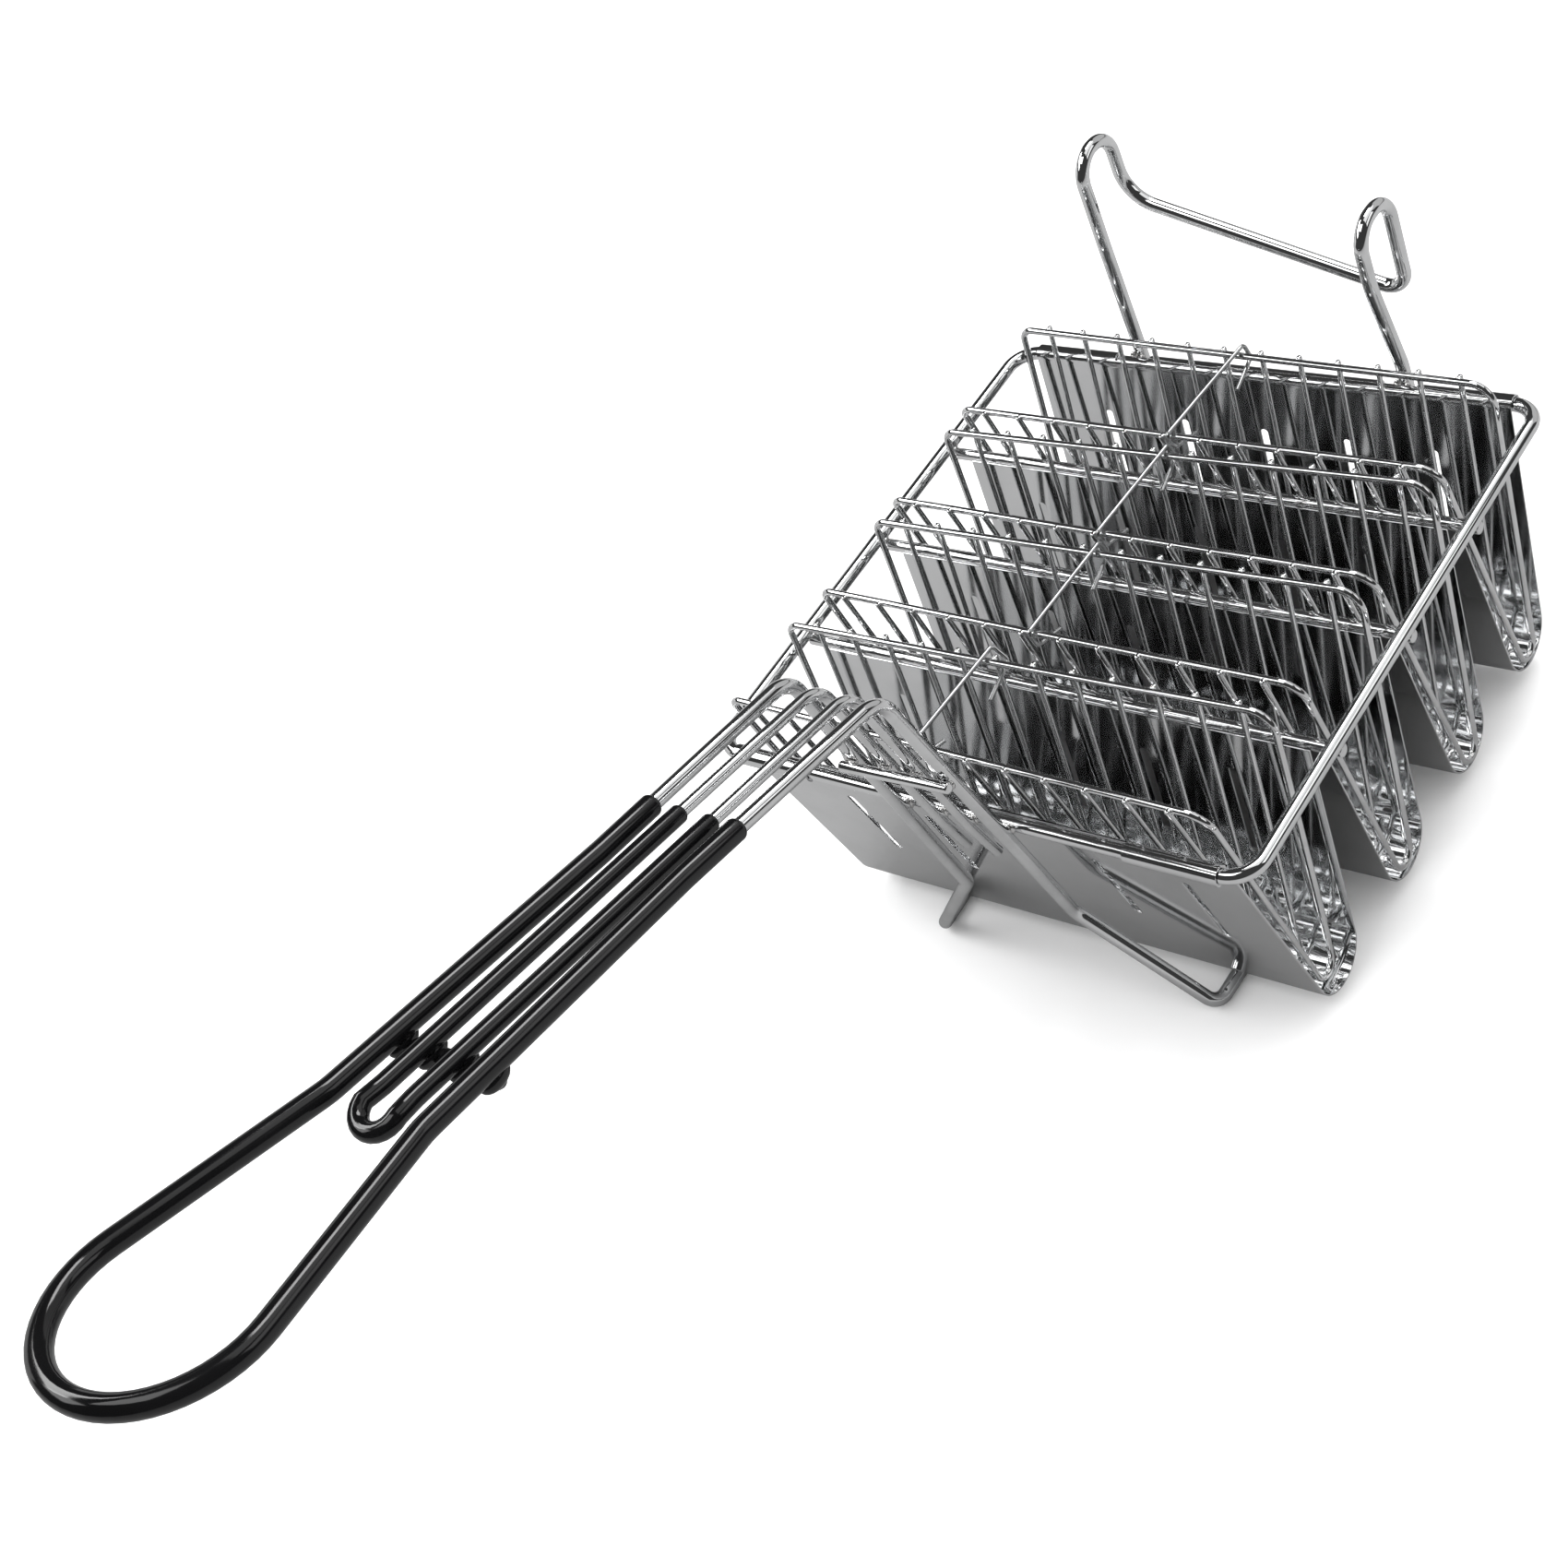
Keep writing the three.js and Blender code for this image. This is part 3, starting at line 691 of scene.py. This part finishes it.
def vinyl():
    """Glossy dipped vinyl: a slow orange-peel surface with faint dull rubbed patches."""
    finish = bpy.data.materials.new("black_vinyl")
    finish.use_nodes = True
    nodes, link = finish.node_tree.nodes, finish.node_tree.links.new
    shader = nodes["Principled BSDF"]
    shader.inputs["IOR"].default_value = 1.5
    place = nodes.new("ShaderNodeTexCoord")
    rub = nodes.new("ShaderNodeTexNoise")
    rub.inputs["Scale"].default_value = 55.0
    rub.inputs["Detail"].default_value = 6.0
    link(place.outputs["Object"], rub.inputs["Vector"])
    tone = nodes.new("ShaderNodeMix")
    tone.data_type = "RGBA"
    tone.inputs[6].default_value = (0.0018, 0.0018, 0.002, 1)
    tone.inputs[7].default_value = (0.005, 0.005, 0.0055, 1)
    link(rub.outputs["Fac"], tone.inputs[0])
    link(tone.outputs[2], shader.inputs["Base Color"])
    gloss = nodes.new("ShaderNodeMapRange")
    gloss.inputs["From Min"].default_value = 0.35
    gloss.inputs["From Max"].default_value = 0.75
    gloss.inputs["To Min"].default_value = 0.08
    gloss.inputs["To Max"].default_value = 0.16
    link(rub.outputs["Fac"], gloss.inputs["Value"])
    link(gloss.outputs["Result"], shader.inputs["Roughness"])
    peel = nodes.new("ShaderNodeTexNoise")
    peel.inputs["Scale"].default_value = 420.0
    peel.inputs["Detail"].default_value = 2.0
    link(place.outputs["Object"], peel.inputs["Vector"])
    sag = nodes.new("ShaderNodeTexNoise")
    sag.inputs["Scale"].default_value = 70.0
    sag.inputs["Detail"].default_value = 1.0
    link(place.outputs["Object"], sag.inputs["Vector"])
    small, large = nodes.new("ShaderNodeBump"), nodes.new("ShaderNodeBump")
    small.inputs["Strength"].default_value = 0.05
    small.inputs["Distance"].default_value = 0.00008
    large.inputs["Strength"].default_value = 0.05
    large.inputs["Distance"].default_value = 0.0008
    link(peel.outputs["Fac"], small.inputs["Height"])
    link(sag.outputs["Fac"], large.inputs["Height"])
    link(small.outputs["Normal"], large.inputs["Normal"])
    link(large.outputs["Normal"], shader.inputs["Normal"])
    return finish


black_vinyl = vinyl()
outer_coat = end_shape(outer_path(grip_start), grip_radius, 0.55)
lay_wire("outer_handle_coat", [(*outer_coat, False)], grip_radius,
         black_vinyl, "basket", ["outer_handle_grip"], sides=40)
inner_coat = end_shape(inner_path(grip_start), inner_grip_radius, 0.55)
lay_wire("inner_handle_coat", [(*inner_coat, False)], inner_grip_radius,
         black_vinyl, "basket", ["inner_handle_grip"], sides=32)


# Handle cross rod: a rod welded under the four handle wires before dipping, so
# the vinyl bridges every crossing with a fillet and leaves a bump at each end.
cross_radius = 3.3
lo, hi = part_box("handle_cross_rod")
cross_y = ((lo.y + hi.y) / 2 - rail_base.y) * 1000
cross_z = ((lo.z + hi.z) / 2 - rail_base.z) * 1000
cross_ends = [Vector((lo.x * 1000, cross_y, cross_z)), Vector((hi.x * 1000, cross_y, cross_z))]
taper = cross_radius * 1.8
lay_wire("handle_cross_coat", [(*end_shape(cross_ends, taper, 1.0), False)], cross_radius,
         black_vinyl, "basket", ["handle_cross_rod"], sides=32)
lay_beads("handle_cross_fillets",
          [(x, cross_y - 0.8, cross_z + 3.6, r, 5.4, 3.2)
           for x, r in ((-17.4, 3.4), (17.4, 3.4), (-inner_x, 3.2), (inner_x, 3.2))]
          + [(0, cross_y - 0.6, cross_z + 3.0, 4.6, 3.2, 1.7)],
          "basket", finish=black_vinyl, ripple=0.0)


# Rear hook: one 5 mm wire bent into two hooks that hang on the fryer's rail, with
# a cross link between them that runs down from the taller hook to the lower one.
hook_x = 53.5
hook_y = rail_length + 2 * rail_radius + gap
hook = bend([
    (-hook_x, hook_y, -7), (-hook_x, hook_y, 50, 200), (-hook_x, hook_y + 0.6, 85.9, 9.8),
    (-hook_x, hook_y + 20.8, 83.9, 9.8), (-hook_x, hook_y + 20.8, 56, 15),
    (hook_x, hook_y + 14.5, 27, 7), (hook_x, hook_y + 15.5, 68, 9.8),
    (hook_x, hook_y - 6, 68.5, 9.8), (hook_x, hook_y - 6, 45, 30),
    (hook_x, hook_y, 8, 20), (hook_x, hook_y, -7)], step=5)
lay_wire("rear_hook_wire", [(*end_shape(hook, rail_radius, 0.3), False)], rail_radius, bright_wire,
         "basket", ["rear_hook"], sides=32)
lay_beads("hook_welds", [(s * hook_x + o, rail_length + 2.7, z, 1.5, 1.3, 2.6)
                         for s in (-1, 1) for o, z in ((-1.8, 0.5), (1.8, -0.5))], "basket")


# Press inserts: a wire loop that follows the ends of the trough, with thin U
# ribs resistance-welded inside it. Each lies loose in its trough and lifts out.
insert_radius, rib_radius = 1.25, 1.0
rib_count, rib_pitch, insert_half, insert_fold = 12, 15.1, 95.0, 5.0
insert_rails = [(11.5, 9.2, 48.1, 52.0), (64.9, 63.8, 100.5, 104.9), (111.3, 111.0, 147.8, 153.4),
                (160.6, 160.6, 205.4, 201.4)]
insert_z = [14.2, 15.4, 16.4, 16.1]
insert_x = [-5.6, -1.4, 0.0, -0.5]
right_corner, left_corner = 8.0, 4.5
rib_outset, rib_rise = insert_radius + rib_radius - 0.3, 1.4
insert_wire = steel("insert_wire", color=(0.80, 0.805, 0.81), dark=(0.66, 0.665, 0.67),
                    rough=0.05, rough_smudged=0.13, smudge=90.0, line=500.0, count=1500.0,
                    grain=0.06, wave=0.01)


def rails_at(number, x):
    """y of an insert's front and rear rail at x: the loops are bent by hand, a little skewed."""
    t = (x - insert_x[number] + insert_half) / (2 * insert_half)
    a, b, c, d = insert_rails[number]
    return a + (b - a) * t, c + (d - c) * t


def insert_profile(number, x, outset, top, clear, steps):
    front, rear = rails_at(number, x)
    z = insert_z[number] + top
    points = vee(Vector((front - outset, z)), Vector((rear + outset, z)),
                 fold_y[number], fold_z + sheet / 2 + gap + clear, insert_fold, steps)
    return [Vector((x, p.x, p.y)) for p in points]


for number in range(4):
    body, node = f"insert_{number + 1}", f"press_insert_{number + 1}"
    corners = []
    for way, radius in ((1, right_corner), (-1, left_corner)):
        end_x = insert_x[number] + way * insert_half
        points = insert_profile(number, end_x, 0, 0, insert_radius, 12)[::way]
        corners += [(*p, radius if k in (0, len(points) - 1) else 0)
                    for k, p in enumerate(points)]
    loop = bend(corners, closed=True, step=9)
    lay_wire(f"insert_{number + 1}_loop", [(loop, [1.0] * len(loop), True)], insert_radius,
             insert_wire, body, [node], sides=16)
    ribs, spots = [], []
    for k in range(rib_count):
        x = insert_x[number] + (k - (rib_count - 1) / 2) * rib_pitch
        rib = insert_profile(number, x, rib_outset, rib_rise, rib_radius, 12)
        ribs.append((*end_shape(rib, rib_radius, 0.6), False))
        for y, s in zip(rails_at(number, x), (-1, 1)):
            spots.append((x, y + s * 1.05, insert_z[number] + 0.1, 1.45, 0.95, 1.25))
    lay_wire(f"insert_{number + 1}_ribs", ribs, rib_radius,
             insert_wire, body, [], sides=12)
    lay_beads(f"insert_{number + 1}_welds", spots, body, finish=insert_wire, ripple=0.12)


# Tie wires: soft 1.6 mm wire across the middle of each insert. It is hooked
# round both rails with pliers, and the snipped tails point back underneath.
tie_radius = 0.8
tie_x = [(-16.2, -19.0), (-3.2, -5.0), (-2.5, -5.0), (-1.0, -5.0)]
tie_slack = [2.2, 0.6, 0.6, 0.6]
tie_wire = steel("tie_wire", color=(0.56, 0.565, 0.57), dark=(0.40, 0.405, 0.41),
                 rough=0.14, rough_smudged=0.28, smudge=160.0, line=700.0, count=1700.0,
                 grain=0.3, wave=0.01)
for number in range(4):
    x0, x1 = tie_x[number]
    z = insert_z[number]
    rear, front = rails_at(number, x0)[1], rails_at(number, x1)[0]
    slack = tie_slack[number]
    w = insert_radius + tie_radius + gap + 0.2
    tie = bend([(x0 + 2 + 2 * slack, rear - 11, z - 6),
                (x0 + 1 + 2 * slack, rear + w + slack, z - w - 0.4, 1.6),
                (x0 + 0.6, rear + w + slack, z + w, 1.6), (x1, front - w, z + w, 1.6),
                (x1 + 2, front - w - 0.2, z - w - 0.2, 1.6), (x1 + 4, front + 8, z - 5)], step=10)
    lay_wire(f"tie_{number + 1}_wire", [(*end_shape(tie, tie_radius, 0.3), False)], tie_radius,
             tie_wire, f"insert_{number + 1}", [f"tie_wire_{number + 1}"], sides=14)


# Studio: a plain pale floor, mirrored by polished metal as a painted grey shade, and large soft
# lamps out of sight. Between the lamps the room mirrors nearly black, so polished metal shows dark
# bands beside white.
def floor_paint(color, reflected_shade):
    """A pale matt floor that polished metal mirrors as a darker grey: painted shade for the
    shadowed floor under the basket.
    """
    finish = bpy.data.materials.new("pale_floor")
    finish.use_nodes = True
    nodes, link = finish.node_tree.nodes, finish.node_tree.links.new
    shader = nodes["Principled BSDF"]
    shader.inputs["Base Color"].default_value = (*color, 1)
    shader.inputs["Roughness"].default_value = 0.9
    shader.inputs["Specular IOR Level"].default_value = 0.1
    # Painted shade: glossy rays see this darker grey in place of the pale floor, standing in for
    # the shadowed floor under the basket.
    reflected_shade_bsdf = nodes.new("ShaderNodeBsdfDiffuse")
    reflected_shade_bsdf.inputs["Color"].default_value = (*reflected_shade, 1)
    ray, pick = nodes.new("ShaderNodeLightPath"), nodes.new("ShaderNodeMixShader")
    link(ray.outputs["Is Glossy Ray"], pick.inputs[0])
    link(shader.outputs["BSDF"], pick.inputs[1])
    link(reflected_shade_bsdf.outputs["BSDF"], pick.inputs[2])
    link(pick.outputs["Shader"], nodes["Material Output"].inputs["Surface"])
    return finish


floor_mesh = bpy.data.meshes.new("floor")
floor_mesh.from_pydata([(-6, -6, 0), (6, -6, 0), (6, 6, 0), (-6, 6, 0)], [], [(0, 1, 2, 3)])
# The second colour is painted shade: the grey that polished metal mirrors in place of the shadowed
# floor under the basket.
floor_mesh.materials.append(floor_paint((0.94, 0.94, 0.94), (0.29, 0.29, 0.29)))
floor = bpy.data.objects.new("floor", floor_mesh)
floor.location.z = cad_box[0].z - 0.0002
bpy.context.scene.collection.objects.link(floor)

world = bpy.data.worlds.new("studio")
bpy.context.scene.world = world
world.use_nodes = True
room, room_link = world.node_tree.nodes, world.node_tree.links.new
room["Background"].inputs["Color"].default_value = (0.9, 0.9, 0.9, 1)
room_ray, room_level = room.new("ShaderNodeLightPath"), room.new("ShaderNodeMapRange")
room_level.inputs["To Min"].default_value = 1.3
room_level.inputs["To Max"].default_value = 0.05
room_link(room_ray.outputs["Is Glossy Ray"], room_level.inputs["Value"])
room_link(room_level.outputs["Result"], room["Background"].inputs["Strength"])


def softbox(name, place, target, width, height, power):
    lamp = bpy.data.lights.new(name, "AREA")
    lamp.shape, lamp.size, lamp.size_y, lamp.energy = "RECTANGLE", width, height, power
    box = bpy.data.objects.new(name, lamp)
    box.location = place
    box.rotation_mode = "QUATERNION"
    box.rotation_quaternion = (Vector(target) - Vector(place)).to_track_quat("-Z", "Y")
    bpy.context.scene.collection.objects.link(box)


softbox("overhead", (0.6, 1.1, 1.7), (0.6, 1.1, 0), 1.3, 1.8, 7)
softbox("overhead_key", (-0.15, 1.08, 1.6), (-0.15, 1.08, 0), 0.5, 1.05, 15)
softbox("rear_wall", (0.6, 2.4, 1.1), (0.6, 0, 1.1), 2.4, 1.8, 6.5)
softbox("right_wall", (1.9, 1.1, 1.3), (0, 0.1, 0.1), 1.4, 0.9, 4.5)
softbox("overhead_front", (-0.3, -0.45, 1.7), (-0.3, -0.45, 0), 1.0, 0.7, 6)
softbox("front_left", (-1.25, -0.94, 1.5), (0, -0.04, 0.1), 0.9, 0.6, 5)
softbox("left_strip", (-1.7, -0.1, 1.75), (0, 0.1, 0.1), 1.3, 0.5, 15)
softbox("left_wall", (-2.2, 0.1, 0.45), (0, 0.1, 0.25), 2.6, 0.7, 4)
bpy.context.scene.view_settings.view_transform = "Standard"
